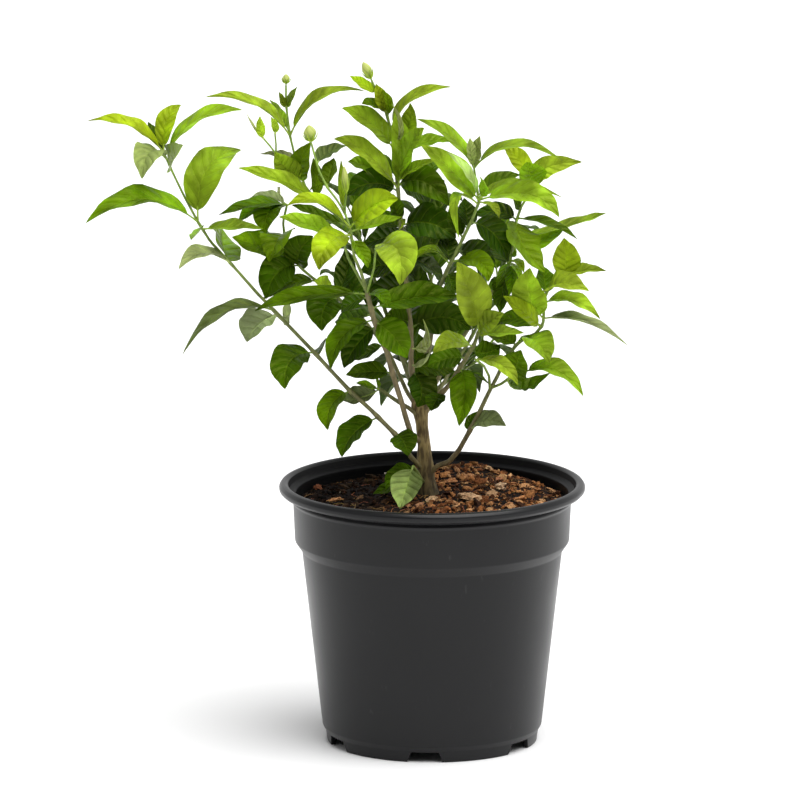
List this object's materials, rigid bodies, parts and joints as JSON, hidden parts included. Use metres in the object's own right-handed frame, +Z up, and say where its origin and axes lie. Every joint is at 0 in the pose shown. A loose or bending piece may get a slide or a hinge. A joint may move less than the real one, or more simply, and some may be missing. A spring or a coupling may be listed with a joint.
{
  "type": "potted arabian jasmine",
  "caption": "Young leafy jasmine shrub with a woody trunk and closed flower buds, growing in a tapered nursery pot with a rolled rim and a notched foot.",
  "frame": {"origin": "on the ground, under the centre of the whole object's bounding box", "axes": "+Z up; -Y is the side that the picture shows, with +X to its right"},
  "size_m": [0.3332, 0.222, 0.4284],
  "materials": {
    "pot_plastic": "dark satin plastic",
    "soil_mix": "rough bark and fibre mix",
    "bark": "rough bark",
    "foliage": "waxy green leaf",
    "bud_cream": "pale matt petal"
  },
  "bodies": {
    "root": {"flower_bud_left_rosette_1": "bud_cream", "flower_bud_left_rosette_2": "bud_cream", "flower_bud_left_rosette_3": "bud_cream", "flower_bud_top_1": "bud_cream", "leafy_stem_back_left": "foliage", "leafy_stem_back_low_left": "foliage", "leafy_stem_back_low_right": "foliage", "leafy_stem_back_middle": "foliage", "leafy_stem_back_right": "foliage", "leafy_stem_far_back": "foliage", "leafy_stem_left_cluster": "foliage", "leafy_stem_left_rosette": "foliage", "leafy_stem_long_left": "foliage", "leafy_stem_low_left": "foliage", "leafy_stem_right_low": "foliage", "leafy_stem_right_lower": "foliage", "leafy_stem_right_rosette": "foliage", "leafy_stem_right_upper": "foliage", "leafy_stem_sprout": "foliage", "leafy_stem_top": "foliage", "pot": "pot_plastic", "soil": "soil_mix", "trunk": "bark"}
  },
  "joints": []
}
